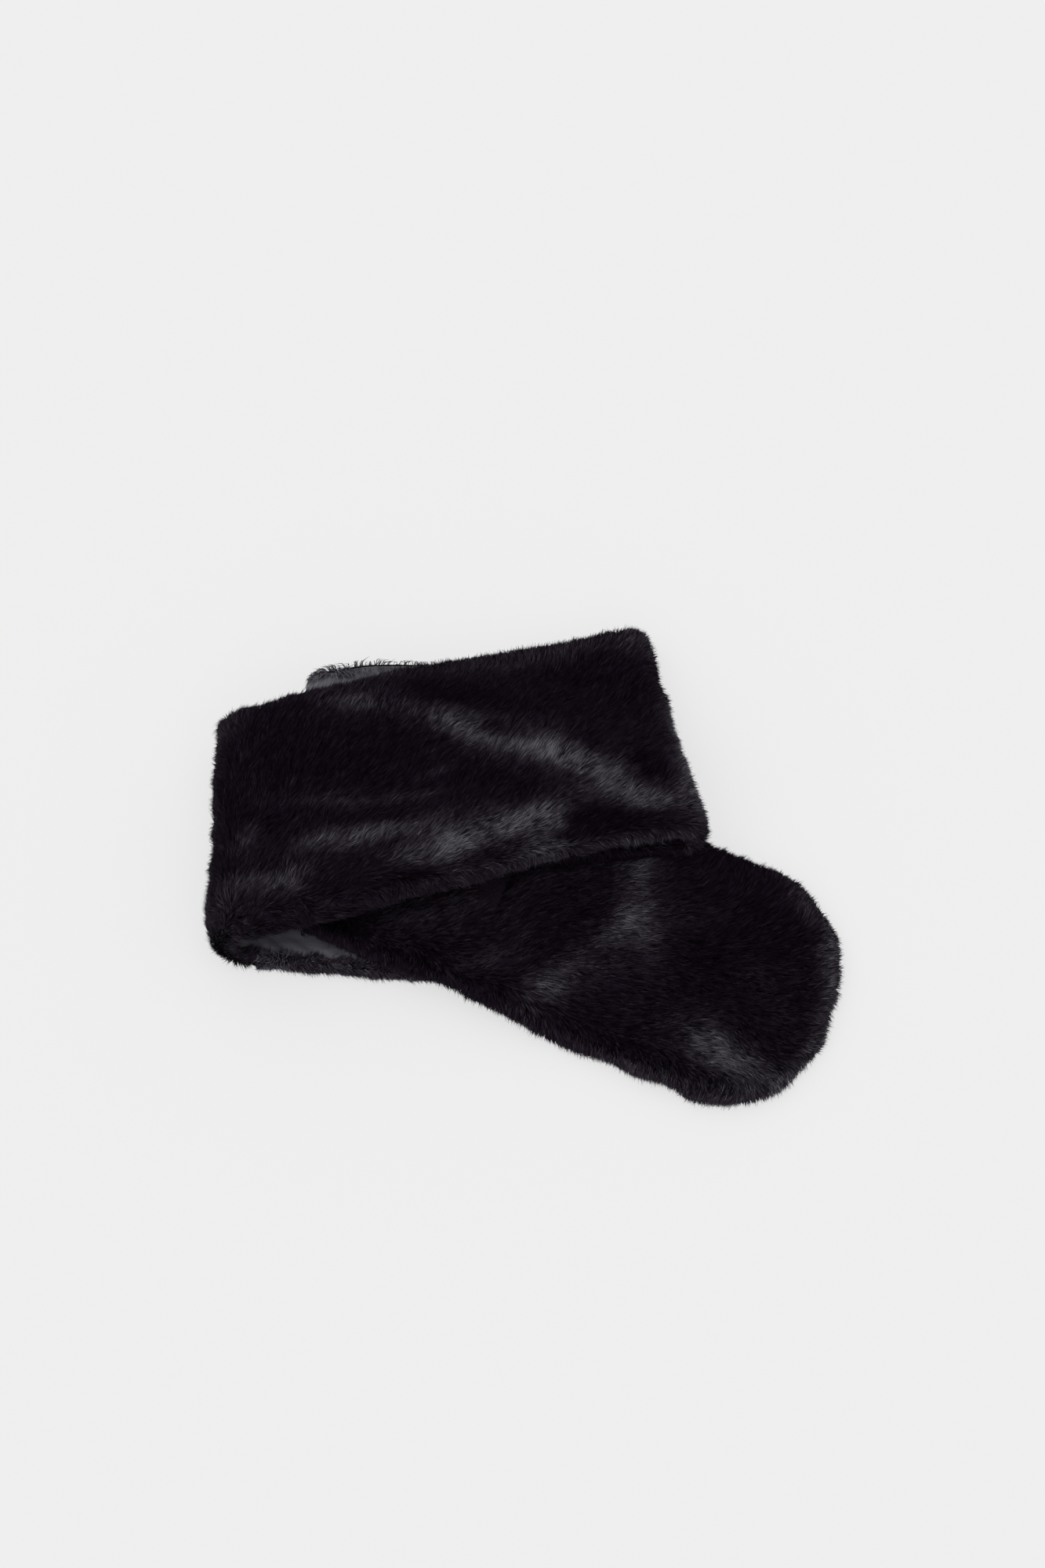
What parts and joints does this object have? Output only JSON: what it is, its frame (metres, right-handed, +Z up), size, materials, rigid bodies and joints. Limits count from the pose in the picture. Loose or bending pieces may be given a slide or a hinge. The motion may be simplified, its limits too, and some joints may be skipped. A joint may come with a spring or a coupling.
{
  "type": "faux fur collar wrap",
  "caption": "Short-pile black faux fur collar wrap with a satin lining and round ends, folded in a zig-zag and lying flat.",
  "frame": {"origin": "on the table, under the middle of the folded wrap's box", "axes": "+X to the right along the folded wrap's longest side, +Y away from the viewer, +Z up"},
  "size_m": [0.3484, 0.2942, 0.0551],
  "materials": {
    "fur": "dense short pile, near black with a cool grey sheen along the nap",
    "satin": "smooth slate grey satin with a soft sheen and small puckers at its seams"
  },
  "bodies": {
    "root": {"fur_top": "fur", "fur_middle": "fur", "fur_tail": "fur", "fur_under": "fur", "lining_top": "satin", "lining_middle": "satin", "lining_under": "satin"}
  },
  "joints": []
}
